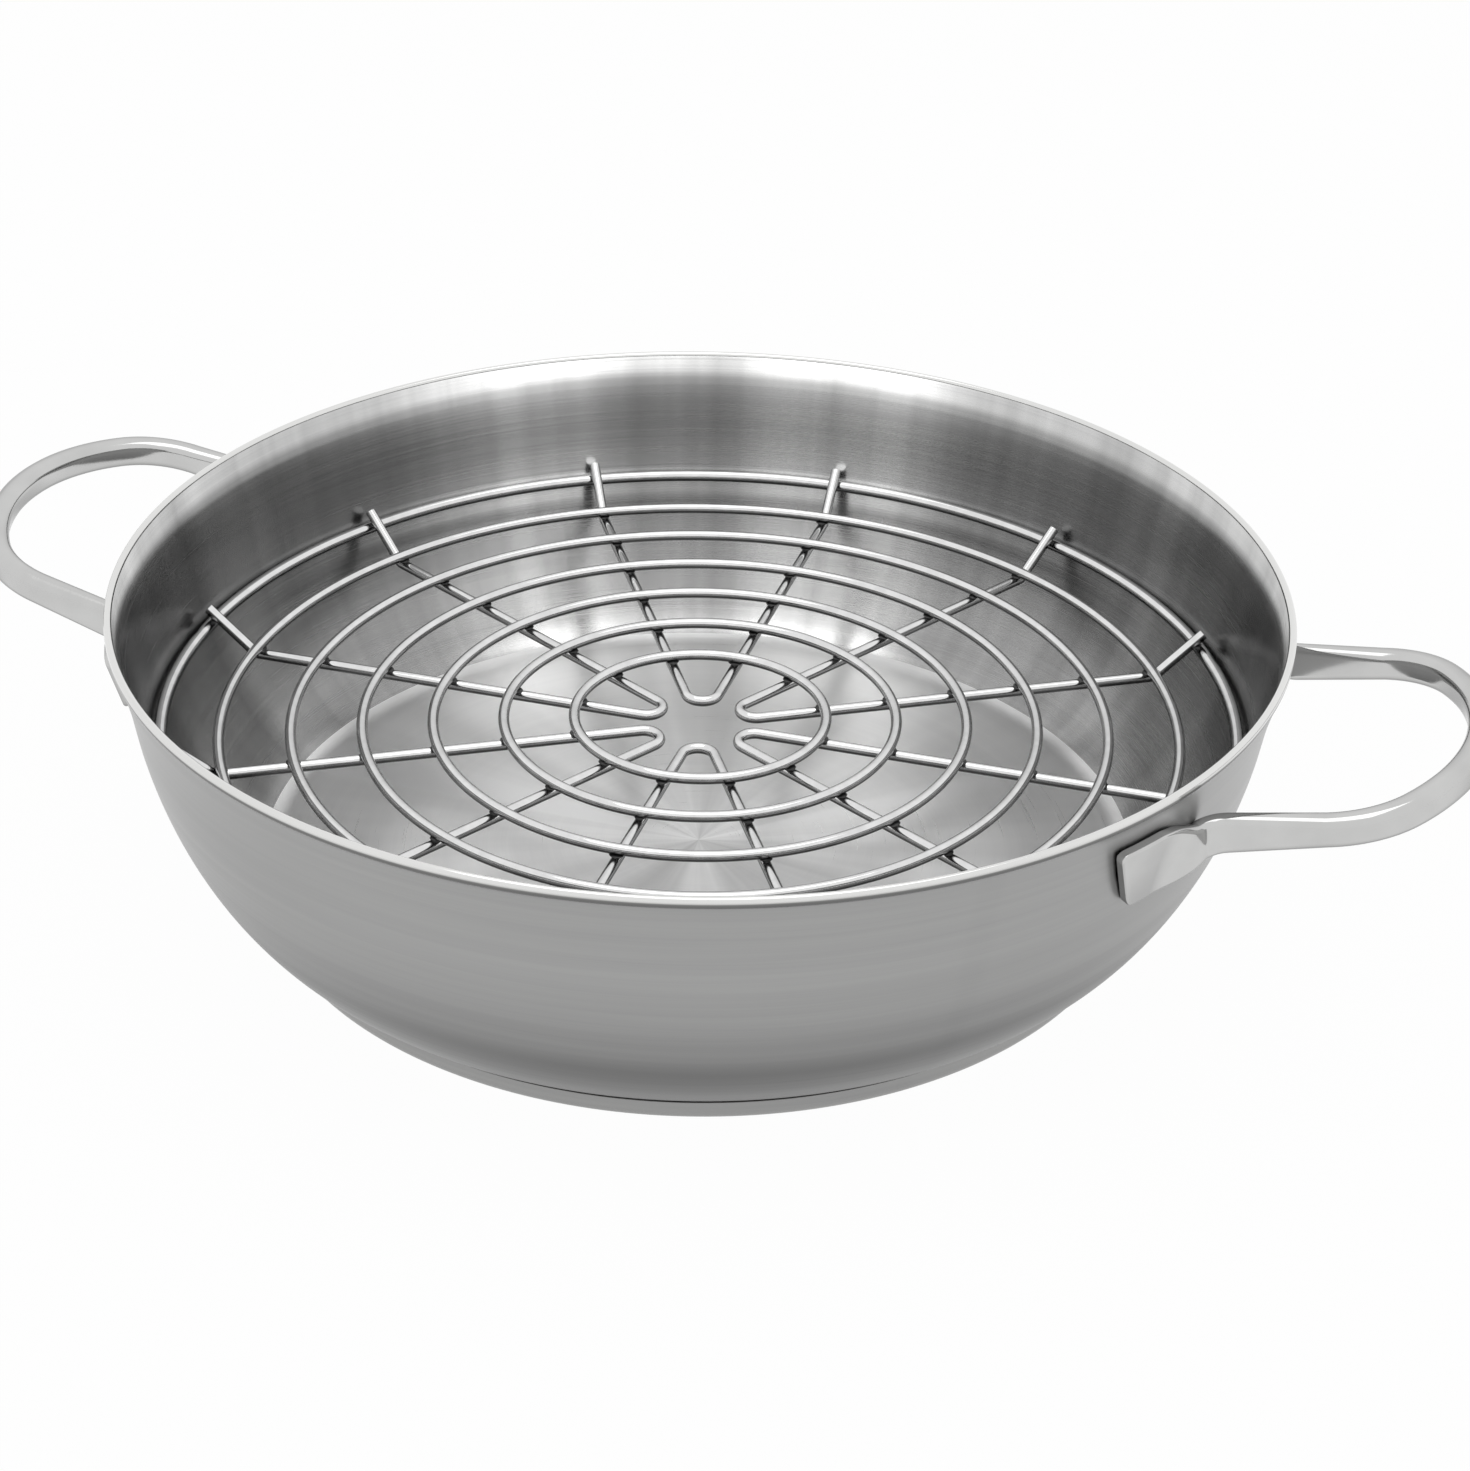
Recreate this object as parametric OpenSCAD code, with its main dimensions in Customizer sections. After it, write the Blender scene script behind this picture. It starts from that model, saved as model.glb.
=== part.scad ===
// Low stovetop smoking pan with two bar handles and a round wire rack that rests inside it.
// Every length is in millimetres. The origin is the middle of the underside, +Z is up,
// and the two handles lie along X.

/* [Pan] */
// Outside diameter of the rolled rim
rim_d = 290; // [250:1:340]
// Height from the underside to the top of the rim
pan_h = 81.8; // [76:0.2:110]
// Outside diameter at the neck, where the flared top begins
neck_d = 278; // [240:1:330]
// Height of the flared top, from the neck to the top of the rim
flare_h = 28; // [26:0.5:36]
// Diameter of the flat part of the floor
floor_d = 214; // [180:1:240]
// Thickness of the sheet that the pan is drawn from
wall = 1; // [0.6:0.1:1.6]
// How far the curve of the bowl starts out level from the flat floor
bowl_foot = 10.8; // [3:0.1:12]
// How far the curve of the bowl runs in line with the flared top
bowl_shoulder = 29.2; // [15:0.5:34]

/* [Rim] */
// Height of the rolled bead on the rim
bead_h = 2.6; // [1.8:0.1:4]
// Thickness of the rolled bead
bead_t = 1.9; // [1.2:0.1:3]

/* [Base] */
// Outside diameter of the capsule base
base_d = 224; // [190:0.2:250]
// Thickness of the heat spreading core
core_h = 4.6; // [3:0.1:8]
// Thickness of the cap pressed over the core
cap_wall = 0.6; // [0.4:0.1:1.2]
// How far the edge of the cap laps up past the top of the core
cap_lap = 0.35; // [0.1:0.05:0.5]
// Radius of the lower edge of the cap
base_round = 3.4; // [1.5:0.1:5]

/* [Handles] */
// Thickness of the handle bar round the grip
bar_t = 6; // [5.4:0.1:7]
// Height of the handle bar round the grip
bar_h = 7.6; // [6:0.1:9]
// Radius of the bar's rounded edges
bar_edge = 2.4; // [1:0.1:2.6]
// Thickness to which each arm is flattened where it meets the pan
arm_t = 4.4; // [3.6:0.1:5.4]
// Height of each arm where it meets the pan
arm_h = 9.5; // [8:0.1:11]
// How far the middle of the grip stands out from the wall
grip_out = 50; // [44:0.5:65]
// How far the middle of each corner stands out from the wall
corner_out = 20.2; // [14:0.2:26]
// Width of the loop across its two arms
loop_w = 83; // [76:1:100]
// Radius of the loop's two outer corners
corner_r = 24; // [20:0.5:27]
// Angle by which each arm spreads towards the pan
arm_splay = 4.4; // [0:0.2:8]
// Radius of the bend where an arm turns along the wall
root_r = 7; // [5.5:0.5:10]
// Height of the middle of the pads below the top of the rim
pad_drop = 17.4; // [15:0.2:19]
// Height of each pad
pad_h = 17.8; // [14:0.2:19]
// Length of each pad at its full height, along its middle
pad_len = 10.8; // [8:0.1:14]
// Length over which an arm widens into its pad
pad_taper = 16; // [12:0.5:20]
// Thickness of each pad
pad_t = 2.5; // [2:0.1:3.6]
// Radius of the pads' free corners
pad_corner = 2.2; // [1:0.5:4]
// Angle by which the pads' free ends lean over
pad_rake = 23; // [0:1:30]

/* [Rack] */
// Diameter of the wire in the rings and legs
wire_d = 2.8; // [2:0.1:3.6]
// Diameter of the heavier wire in the outer ring
outer_wire_d = 3.2; // [2.4:0.1:4]
// Height of the level rings above the underside of the pan
rack_z = 43.4; // [36:0.2:50]
// Number of level rings
ring_count = 6; // [3:1:6]
// Radius of the smallest ring
ring_first = 31.8; // [24:0.2:36]
// Number of hairpins, each of which makes two legs
hairpin_count = 6; // [4:1:6]
// Radius at which the hairpins turn back on themselves
hairpin_tip = 12; // [10:0.2:16]
// Turn of the rack about the pan's axis
rack_turn = 48; // [0:1:60]
// How far past the largest level ring each leg turns up
turn_up = 1.4; // [1.4:0.1:2.4]
// Slope of the raised part of each leg
leg_slope = 41; // [38:0.2:48]
// Height of the outer ring above the level part of the legs
ring_rise = 6.7; // [6:0.1:9]
// How far each leg runs on past the place where it lies on the outer ring
over_run = 3.3; // [1.6:0.1:3.6]
// Radius of the bend in each leg
wire_bend_r = 3; // [2.4:0.1:4]

/* [Clearances] */
// Gap left at a face or wire that is bonded or welded to its neighbour
weld_gap = 0.02; // [0.01:0.01:0.05]
// Gap between the rack and the wall that it rests against
rest_gap = 0.3; // [0.2:0.05:0.6]

/* [Hidden] */
$fn = 96;
bowl_steps = 12;
edge_steps = 4;
// How far each stretch of a swept bar or wire runs into the next, so that they are one solid
join_lap = 0.02;
// How much thicker a bend comes out than the straights beside it
bend_swell = 1.01;
// How far a pad runs back into the taper before it, and how far the taper's end lies under its faces
pad_lap = 1;
pad_sink = 0.05;

// The base stack gives the height of the pan's floor.
base_r = base_d / 2;
core_z = cap_wall + weld_gap;
floor_z = core_z + core_h + weld_gap;
cap_h = floor_z + cap_lap;

// The outside of the wall is a level floor, a curved bowl and a straight flare.
neck = [neck_d / 2, pan_h - flare_h];
bead_mid_r = rim_d / 2 - bead_t / 2;
wall_top = [bead_mid_r + wall / 2, pan_h - bead_h / 2];
flare = wall_top - neck;
flare_lean = atan(flare.x / flare.y);
foot = [floor_d / 2, floor_z];
bowl_curve = [
    foot,
    foot + [bowl_foot, 0],
    neck - bowl_shoulder * [sin(flare_lean), cos(flare_lean)],
    neck
];

// Points along a stretch of a circle
function arc(at, r, from, to, steps) =
    [for (i = [0:steps]) at + r * [cos(from + (to - from) * i / steps), sin(from + (to - from) * i / steps)]];

function on_curve(c, t) =
    pow(1 - t, 3) * c[0] + 3 * pow(1 - t, 2) * t * c[1] + 3 * (1 - t) * t * t * c[2] + t * t * t * c[3];

outside_line = concat(
    [[0, floor_z]],
    [for (i = [0:bowl_steps]) on_curve(bowl_curve, i / bowl_steps)],
    [wall_top]
);

function heading(line, i) =
    let (a = line[max(i - 1, 0)], b = line[min(i + 1, len(line) - 1)])
    atan2(b.y - a.y, b.x - a.x);

// The same line moved towards the inside of the pan
function moved_in(line, d) =
    [for (i = [0:len(line) - 1]) line[i] + d * [-sin(heading(line, i)), cos(heading(line, i))]];

inside_line = moved_in(outside_line, wall);

// Radius of the inside of the wall at a height
function inside_r(z) =
    lookup(z, [for (i = [1:len(inside_line) - 1]) [inside_line[i].y, inside_line[i].x]]);

// A handle is a bar bent in one plane, which rises outward as steeply as the wall leans.
pad_z = pan_h - pad_drop;
pad_wall_r = neck.x + (pad_z - neck.y) * tan(flare_lean);
root_mid_r = pad_wall_r + weld_gap + arm_t / 2;
grip_u = pad_wall_r + grip_out;
corner_at = [pad_wall_r + corner_out, loop_w / 2 - corner_r];
// The grip's arc meets both corners without a kink.
corner_run = grip_u - corner_at.x;
grip_r = (corner_run * corner_run + corner_at.y * corner_at.y - corner_r * corner_r)
    / (2 * (corner_run - corner_r));
grip_turn = atan2(corner_at.y, corner_at.x - grip_u + grip_r);
// Each arm runs from its corner towards the pan until its bend meets the pad.
arm_side = [sin(arm_splay), cos(arm_splay)];
arm_way = [-cos(arm_splay), sin(arm_splay)];
arm_from = corner_at + corner_r * arm_side;
root_line = arm_from + root_r * arm_side;
root_reach = root_mid_r + root_r;
arm_len = -root_line * arm_way
    - sqrt(pow(root_line * arm_way, 2) - root_line * root_line + root_reach * root_reach);
root_at = root_line + arm_len * arm_way;
root_azimuth = atan2(root_at.y, root_at.x);
root_turn = 90 - arm_splay - root_azimuth;
arm_flatten = [arm_t / bar_t, arm_h / bar_h];
// From the bend the bar goes on round the wall, flattened more and more until it is the pad.
taper_azimuth = root_azimuth + pad_taper / root_mid_r * 180 / PI;
pad_azimuth = taper_azimuth + pad_len / 2 / pad_wall_r * 180 / PI;
// A length that reaches past any face that cuts a pad or an arm
past = pad_taper + pad_len;

// The rack's legs lie under its level rings, and their raised ends lie on its outer ring.
leg_z = rack_z - wire_d - weld_gap;
outer_ring_z = leg_z + ring_rise;
outer_ring_r = inside_r(outer_ring_z - outer_wire_d / 2) - rest_gap - outer_wire_d / 2;
half_pin = 90 / hairpin_count;
pin_r = hairpin_tip * sin(half_pin) / (1 - sin(half_pin));
leg_from_r = pin_r / tan(half_pin);
// A leg's middle line passes the outer ring's at this distance, above it and nearer the axis.
cross_gap = (wire_d + outer_wire_d) / 2 + weld_gap;
cross_r = outer_ring_r - cross_gap * sin(leg_slope);
cross_rise = ring_rise + cross_gap * cos(leg_slope);
leg_up_r = cross_r - cross_rise / tan(leg_slope);
leg_bend_len = wire_bend_r * tan(leg_slope / 2);
ring_pitch = (leg_up_r - turn_up - ring_first) / (ring_count - 1);

// Sweeps an outline in the XY plane, from the origin and at first along +X. Each move is
// [length, 0] for a straight or [radius, turn] for a bend, with left turns positive.
module sweep(moves, i = 0) {
    if (i < len(moves)) {
        size = moves[i][0];
        turn = moves[i][1];
        side = sign(turn);
        join_turn = join_lap / size * 180 / PI;
        if (turn == 0) {
            rotate([90, 0, 90]) linear_extrude(size + join_lap) children();
            translate([size, 0, 0]) sweep(moves, i + 1) children();
        } else translate([0, side * size, 0]) {
            rotate(turn > 0 ? -90 : 90 + turn - join_turn) rotate_extrude(angle = abs(turn) + join_turn)
                translate([size, 0]) mirror([max(side, 0), 0]) scale(bend_swell) children();
            rotate(turn) translate([0, -side * size, 0]) sweep(moves, i + 1) children();
        }
    }
}

// Half of a disc's outline with its lower edge rounded
module disc_outline(r, h, round) {
    polygon(concat([[0, 0]], arc([r - round, round], round, -90, 0, edge_steps), [[r, h], [0, h]]));
}

// The drawn pan with its rolled rim
module pan_shell() {
    color("silver") rotate_extrude() {
        polygon(concat(outside_line, [for (i = [len(inside_line) - 1:-1:0]) inside_line[i]]));
        translate([bead_mid_r - bead_t / 2, pan_h - bead_h + bead_t / 2])
            square([bead_t, bead_h - bead_t]);
        for (z = [pan_h - bead_h + bead_t / 2, pan_h - bead_t / 2])
            translate([bead_mid_r, z]) circle(d = bead_t);
    }
}

// The disc that spreads the heat, sealed between the pan and the cap
module base_core() {
    color("gainsboro") translate([0, 0, core_z]) rotate_extrude()
        disc_outline(base_r - cap_wall - weld_gap, core_h, base_round - cap_wall);
}

// The shallow cap that closes the base
module base_cap() {
    color("darkgray") rotate_extrude() difference() {
        disc_outline(base_r, cap_h, base_round);
        translate([0, cap_wall]) disc_outline(base_r - cap_wall, cap_h, base_round - cap_wall);
    }
}

// The bar's cross section round the grip, with its thickness along X, and made
// thinner and taller by two factors
module bar_section(flatten = [1, 1]) {
    x = bar_t / 2 - bar_edge;
    y = bar_h / 2 - bar_edge;
    corners = [[x, -y], [x, y], [-x, y], [-x, -y]];
    polygon([
        for (i = [0:3])
            for (p = arc(corners[i], bar_edge, i * 90 - 90, i * 90, edge_steps))
                [p.x * flatten.x, p.y * flatten.y]
    ]);
}

// Puts something in the plane of the loop, at distances from the pan's axis
module in_loop() {
    translate([pad_wall_r, 0, pad_z]) rotate([0, -flare_lean, 0]) translate([-pad_wall_r, 0, 0])
        children();
}

// Puts something on the wall some way round, with X out from the wall and Y round it
module on_wall(azimuth) {
    rotate(azimuth) translate([pad_wall_r, 0, pad_z]) rotate([0, flare_lean, 0]) children();
}

// Half of the loop, from the middle of the grip to the end of the bend at the wall
module half_loop() {
    translate([grip_u, 0, 0]) rotate(90) sweep([
        [grip_r, grip_turn],
        [corner_r, 90 - arm_splay - grip_turn]
    ]) bar_section();
    translate([arm_from.x, arm_from.y, 0]) rotate(180 - arm_splay) {
        rotate([90, 0, 90])
            linear_extrude(arm_len + join_lap, scale = arm_flatten, slices = 1, $fn = 4 * edge_steps)
                bar_section();
        translate([arm_len, 0, 0]) sweep([[root_r, -root_turn]]) bar_section(arm_flatten);
    }
}

// The stretch between the bend at the wall and the pad
module taper_blank() {
    hull() {
        in_loop() rotate(root_azimuth) translate([root_mid_r, 0, 0]) rotate([90, 0, 0])
            linear_extrude(join_lap) bar_section(arm_flatten);
        on_wall(taper_azimuth) rotate([90, 0, 0]) linear_extrude(join_lap)
            translate([-pad_t, pad_sink - pad_h / 2])
                square([2 * pad_t - pad_sink, pad_h - 2 * pad_sink]);
    }
}

// A pad's outline, with its length along X and the taper's end at the left
module pad_outline() {
    start = -pad_len / 2;
    y = pad_h / 2 - pad_corner;
    end = pad_len / 2 - pad_corner / cos(pad_rake);
    lean = y * tan(pad_rake);
    polygon(concat(
        [[start - pad_lap, pad_h / 2 - pad_lap], [start - pad_lap, pad_lap - pad_h / 2]],
        [[start, -pad_h / 2]],
        arc([end - lean, -y], pad_corner, -90, -pad_rake, edge_steps),
        arc([end + lean, y], pad_corner, -pad_rake, 90, edge_steps),
        [[start, pad_h / 2]]
    ));
}

// Everything inside the flared wall and a distance beyond it
module inside_flare(beyond) {
    reach = beyond / cos(flare_lean);
    rise = past * tan(flare_lean);
    rotate_extrude() polygon([
        [0, pad_z - past],
        [pad_wall_r + reach - rise, pad_z - past],
        [pad_wall_r + reach + rise, pad_z + past],
        [0, pad_z + past]
    ]);
}

// A pad, which the wall's shape then cuts on its inner side
module pad_blank() {
    intersection() {
        on_wall(pad_azimuth) rotate([90, 0, 90]) linear_extrude(past, center = true) pad_outline();
        inside_flare(weld_gap + pad_t);
    }
}

// The handle on the +X side
module handle() {
    color("lightgray") difference() {
        for (side = [0, 1]) mirror([0, side, 0]) {
            in_loop() half_loop();
            taper_blank();
            pad_blank();
        }
        inside_flare(weld_gap);
    }
}

module handle_left() {
    mirror([1, 0, 0]) handle();
}

module handle_right() {
    handle();
}

// A closed ring of wire
module ring(r, z, d) {
    color("whitesmoke") rotate_extrude() translate([r, z]) circle(d = d);
}

// One of the level rings, numbered from the middle
module rack_ring(number) {
    ring(ring_first + (number - 1) * ring_pitch, rack_z, wire_d);
}

module rack_outer_ring() {
    ring(outer_ring_r, outer_ring_z, outer_wire_d);
}

// One leg of a hairpin, from the end of the bend in the middle out and up past the outer ring
module leg() {
    translate([hairpin_tip + pin_r, 0, leg_z]) rotate(half_pin) translate([0, pin_r, 0])
        rotate([90, 0, 0]) sweep([
            [leg_up_r - leg_bend_len - leg_from_r, 0],
            [wire_bend_r, leg_slope],
            [cross_rise / sin(leg_slope) + over_run - leg_bend_len, 0]
        ]) circle(d = wire_d);
}

// One wire bent back on itself, which makes two neighbouring legs
module rack_hairpin(number) {
    tip_lap = join_lap / pin_r * 180 / PI;
    color("whitesmoke") rotate(rack_turn + (number - 1) * 360 / hairpin_count) {
        translate([hairpin_tip + pin_r, 0, leg_z]) rotate(90 + half_pin - tip_lap)
            rotate_extrude(angle = 180 - 2 * half_pin + 2 * tip_lap)
                translate([pin_r, 0]) rotate(90) circle(d = wire_d * bend_swell);
        for (side = [0, 1]) mirror([0, side, 0]) leg();
    }
}

pan_shell();
base_core();
base_cap();
handle_left();
handle_right();
rack_outer_ring();
for (number = [1:ring_count])
    rack_ring(number);
for (number = [1:hairpin_count])
    rack_hairpin(number);
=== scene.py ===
import bpy
import bmesh
import math
from mathutils import Matrix, Vector


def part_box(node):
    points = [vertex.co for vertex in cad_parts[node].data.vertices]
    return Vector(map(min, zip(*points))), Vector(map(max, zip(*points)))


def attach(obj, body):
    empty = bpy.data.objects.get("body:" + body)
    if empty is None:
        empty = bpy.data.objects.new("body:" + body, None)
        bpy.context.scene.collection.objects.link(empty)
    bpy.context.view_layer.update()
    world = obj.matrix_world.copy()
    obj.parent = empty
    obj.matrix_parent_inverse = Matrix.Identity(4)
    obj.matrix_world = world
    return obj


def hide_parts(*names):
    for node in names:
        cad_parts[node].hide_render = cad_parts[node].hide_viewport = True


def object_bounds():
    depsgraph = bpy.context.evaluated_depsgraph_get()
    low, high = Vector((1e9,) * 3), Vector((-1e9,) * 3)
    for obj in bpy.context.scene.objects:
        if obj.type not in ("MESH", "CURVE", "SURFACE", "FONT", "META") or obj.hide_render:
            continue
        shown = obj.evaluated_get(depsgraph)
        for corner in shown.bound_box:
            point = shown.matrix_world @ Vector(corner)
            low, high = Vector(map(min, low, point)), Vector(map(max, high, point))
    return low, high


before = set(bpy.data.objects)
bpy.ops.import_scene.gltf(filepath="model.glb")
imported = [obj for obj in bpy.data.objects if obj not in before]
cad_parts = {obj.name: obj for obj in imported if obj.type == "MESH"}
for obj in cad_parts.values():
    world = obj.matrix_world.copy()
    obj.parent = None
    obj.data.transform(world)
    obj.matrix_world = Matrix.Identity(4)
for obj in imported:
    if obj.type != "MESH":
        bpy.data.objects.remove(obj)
cadLow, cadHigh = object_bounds()
scene = bpy.context.scene
mm = 0.001
rimTop = cadHigh.z
print("scene: frame loaded,", len(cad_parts), "nodes")

# where the photograph was taken from, found by fitting the rim and the rack's rings
shot = {
    "longSidePixels": 1471,
    "focalPixels": 3026.4,
    "sensorWidth": 36.0,     # millimetres
    "nearest": 0.01,
    "farthest": 50.0,
    "distance": 0.7462,      # from the middle of the rim
    "elevation": 26.92,      # degrees
    "azimuth": -70.5,        # degrees round from the right handle
    "pan": -0.663,           # degrees that the view is turned off the middle of the rim
    "tilt": -2.956,
    "roll": -0.792,
}


def placeCamera():
    data = bpy.data.cameras.new("camera")
    data.sensor_width = shot["sensorWidth"]
    data.lens = shot["focalPixels"] * data.sensor_width / shot["longSidePixels"]
    data.clip_start, data.clip_end = shot["nearest"], shot["farthest"]
    lift, heading = math.radians(shot["elevation"]), math.radians(shot["azimuth"])
    away = Vector((math.cos(lift) * math.cos(heading), math.cos(lift) * math.sin(heading), math.sin(lift)))
    right = Vector((-math.sin(heading), math.cos(heading), 0))
    up = right.cross(-away)
    turn = Matrix.Rotation(math.radians(shot["pan"]), 3, up)
    turn = turn @ Matrix.Rotation(math.radians(shot["tilt"]), 3, right)
    forward = turn @ -away
    turn = Matrix.Rotation(math.radians(shot["roll"]), 3, forward) @ turn
    right, up = turn @ right, turn @ up
    camera = bpy.data.objects.new("camera", data)
    scene.collection.objects.link(camera)
    place = Matrix.Translation(Vector((0, 0, rimTop)) + away * shot["distance"])
    camera.matrix_world = place @ Matrix((right, up, -forward)).transposed().to_4x4()
    scene.camera = camera


placeCamera()
scene.view_settings.view_transform = "Standard"
print("scene: camera placed")


# node trees: a new tree with named sockets, and a node with its settings and links in one call
def newTree(name, kind, inputs, outputs):
    tree = bpy.data.node_groups.new(name, kind)
    for side, sockets in (("INPUT", inputs), ("OUTPUT", outputs)):
        for label, socketKind, value in sockets:
            socket = tree.interface.new_socket(label, in_out=side, socket_type=socketKind)
            if value is not None:
                socket.default_value = value
    return tree, tree.nodes.new("NodeGroupInput"), tree.nodes.new("NodeGroupOutput")


def put(tree, kind, links=(), **settings):
    node = tree.nodes.new(kind)
    for key, value in settings.items():
        setattr(node, key, value)
    for socket, source in dict(links).items():
        if isinstance(source, bpy.types.NodeSocket):
            tree.links.new(source, node.inputs[socket])
        else:
            node.inputs[socket].default_value = source
    return node


def addMath(tree, operation, a, b=0.0, c=0.0):
    return put(tree, "ShaderNodeMath", {0: a, 1: b, 2: c}, operation=operation).outputs[0]


# fine lines that run round the Z axis, as turning and brushing leave them
grainLook = {
    "detail": 3.0,
    "roughness": 0.6,
    "bandShare": 0.11,       # how many bands there are for each line
    "lineMix": 0.45,         # how much of the tone comes from the lines
    "bandMix": 0.55,
}


def makeTurnedGrain():
    tree, given, made = newTree("turnedGrain", "ShaderNodeTree", [
        ("Place", "NodeSocketVector", None),
        ("Lines", "NodeSocketFloat", 2600.0),    # how close the lines are, per metre
        ("Reach", "NodeSocketFloat", 2.0),       # how soon a line fades as it goes round
        ("Clouds", "NodeSocketFloat", 16.0),
    ], [("Line", "NodeSocketFloat", None), ("Band", "NodeSocketFloat", None), ("Cloud", "NodeSocketFloat", None)])
    place = given.outputs["Place"]
    parts = put(tree, "ShaderNodeSeparateXYZ", {0: place})
    flat = put(tree, "ShaderNodeCombineXYZ", {0: parts.outputs[0], 1: parts.outputs[1]})
    radius = put(tree, "ShaderNodeVectorMath", {0: flat.outputs[0]}, operation="LENGTH").outputs["Value"]
    heading = put(tree, "ShaderNodeVectorMath", {0: flat.outputs[0]}, operation="NORMALIZE")
    heading = put(tree, "ShaderNodeVectorMath", {0: heading.outputs[0], "Scale": given.outputs["Reach"]},
                  operation="SCALE")
    around = put(tree, "ShaderNodeSeparateXYZ", {0: heading.outputs[0]})
    along = addMath(tree, "ADD", radius, parts.outputs[2])
    for label, share in (("Line", 1.0), ("Band", grainLook["bandShare"])):
        step = addMath(tree, "MULTIPLY", along, addMath(tree, "MULTIPLY", given.outputs["Lines"], share))
        spot = put(tree, "ShaderNodeCombineXYZ", {0: around.outputs[0], 1: around.outputs[1], 2: step})
        noise = put(tree, "ShaderNodeTexNoise", {"Vector": spot.outputs[0], "Scale": 1.0,
                                                 "Detail": grainLook["detail"], "Roughness": grainLook["roughness"]})
        tree.links.new(noise.outputs["Fac"], made.inputs[label])
    cloud = put(tree, "ShaderNodeTexNoise", {"Vector": place, "Scale": given.outputs["Clouds"],
                                             "Detail": grainLook["detail"]})
    tree.links.new(cloud.outputs["Fac"], made.inputs["Cloud"])
    return tree


# wear on a polished wire or bar: faint ripples and fine scratches
wearLook = {
    "rippleDetail": 2.0,
    "scratchStretch": (1.0, 0.25, 1.0),
    "scratchDetail": 4.0,
    "scratchRoughness": 0.7,
}


def makePolishWear():
    tree, given, made = newTree("polishWear", "ShaderNodeTree", [
        ("Place", "NodeSocketVector", None),
        ("Ripples", "NodeSocketFloat", 300.0),
        ("Scratches", "NodeSocketFloat", 900.0),
    ], [("Ripple", "NodeSocketFloat", None), ("Scratch", "NodeSocketFloat", None)])
    ripple = put(tree, "ShaderNodeTexNoise", {"Vector": given.outputs["Place"], "Scale": given.outputs["Ripples"],
                                              "Detail": wearLook["rippleDetail"]})
    tree.links.new(ripple.outputs["Fac"], made.inputs["Ripple"])
    drawn = put(tree, "ShaderNodeMapping", {"Vector": given.outputs["Place"], "Scale": wearLook["scratchStretch"]})
    scratch = put(tree, "ShaderNodeTexNoise", {"Vector": drawn.outputs[0], "Scale": given.outputs["Scratches"],
                                               "Detail": wearLook["scratchDetail"],
                                               "Roughness": wearLook["scratchRoughness"]})
    tree.links.new(scratch.outputs["Fac"], made.inputs["Scratch"])
    return tree


# painted reflection: soft streaks that run up a round wall, and two wide painted glints where a lamp is mirrored in
# it
paintedSheenLook = {
    "detail": 3.0,
    "roughness": 0.55,
}


def makePaintedRoundSheen():
    tree, given, made = newTree("paintedRoundSheen", "ShaderNodeTree", [
        ("Place", "NodeSocketVector", None),
        ("Streaks", "NodeSocketFloat", 5.0),     # how many streaks go round
        ("First Heading", "NodeSocketVector", (1.0, 0.0, 0.0)),
        ("First Spread", "NodeSocketFloat", 0.2),
        ("Second Heading", "NodeSocketVector", (0.0, 1.0, 0.0)),
        ("Second Spread", "NodeSocketFloat", 0.2),
    ], [("Streak", "NodeSocketFloat", None), ("Glint", "NodeSocketFloat", None)])
    parts = put(tree, "ShaderNodeSeparateXYZ", {0: given.outputs["Place"]})
    flat = put(tree, "ShaderNodeCombineXYZ", {0: parts.outputs[0], 1: parts.outputs[1]})
    heading = put(tree, "ShaderNodeVectorMath", {0: flat.outputs[0]}, operation="NORMALIZE").outputs[0]
    spot = put(tree, "ShaderNodeVectorMath", {0: heading, "Scale": given.outputs["Streaks"]}, operation="SCALE")
    noise = put(tree, "ShaderNodeTexNoise", {"Vector": spot.outputs[0], "Scale": 1.0, "Detail": paintedSheenLook["detail"],
                                             "Roughness": paintedSheenLook["roughness"]})
    tree.links.new(noise.outputs["Fac"], made.inputs["Streak"])
    shares = []
    for label in ("First", "Second"):
        facing = put(tree, "ShaderNodeVectorMath", {0: heading, 1: given.outputs[label + " Heading"]},
                     operation="DOT_PRODUCT").outputs["Value"]
        start = addMath(tree, "SUBTRACT", 1.0, given.outputs[label + " Spread"])
        shares.append(put(tree, "ShaderNodeMapRange", {"Value": facing, "From Min": start, "From Max": 1.0},
                          interpolation_type="SMOOTHSTEP").outputs[0])
    tree.links.new(addMath(tree, "MAXIMUM", *shares), made.inputs["Glint"])
    return tree


turnedGrain = makeTurnedGrain()
paintedRoundSheen = makePaintedRoundSheen()
polishWear = makePolishWear()
print("scene: grain, sheen and wear made")

quarterTurn = 0.25           # turns the stretched gloss so that it lies across the turned lines
noiseSpan = (0.3, 0.7)       # the part of a noise's range that is used
mixSockets = {"dark": 6, "light": 7, "result": 2}    # a mix node's sockets for colours


def startMetal(name, look):
    material = bpy.data.materials.new(name)
    material.use_nodes = True
    tree = material.node_tree
    shader = tree.nodes["Principled BSDF"]
    shader.inputs["Metallic"].default_value = 1.0
    shader.inputs["Anisotropic"].default_value = look["stretch"]
    shader.inputs["Anisotropic Rotation"].default_value = quarterTurn
    place = put(tree, "ShaderNodeTexCoord").outputs["Object"]
    if look["stretch"]:
        tangent = put(tree, "ShaderNodeTangent", direction_type="RADIAL", axis="Z")
        tree.links.new(tangent.outputs[0], shader.inputs["Tangent"])
    return material, tree, shader, place


def tint(tree, shader, look, amount):
    mix = put(tree, "ShaderNodeMix", {"Factor": amount}, data_type="RGBA")
    for label in ("dark", "light"):
        mix.inputs[mixSockets[label]].default_value = (*look[label], 1)
    tree.links.new(mix.outputs[mixSockets["result"]], shader.inputs["Base Color"])


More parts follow.
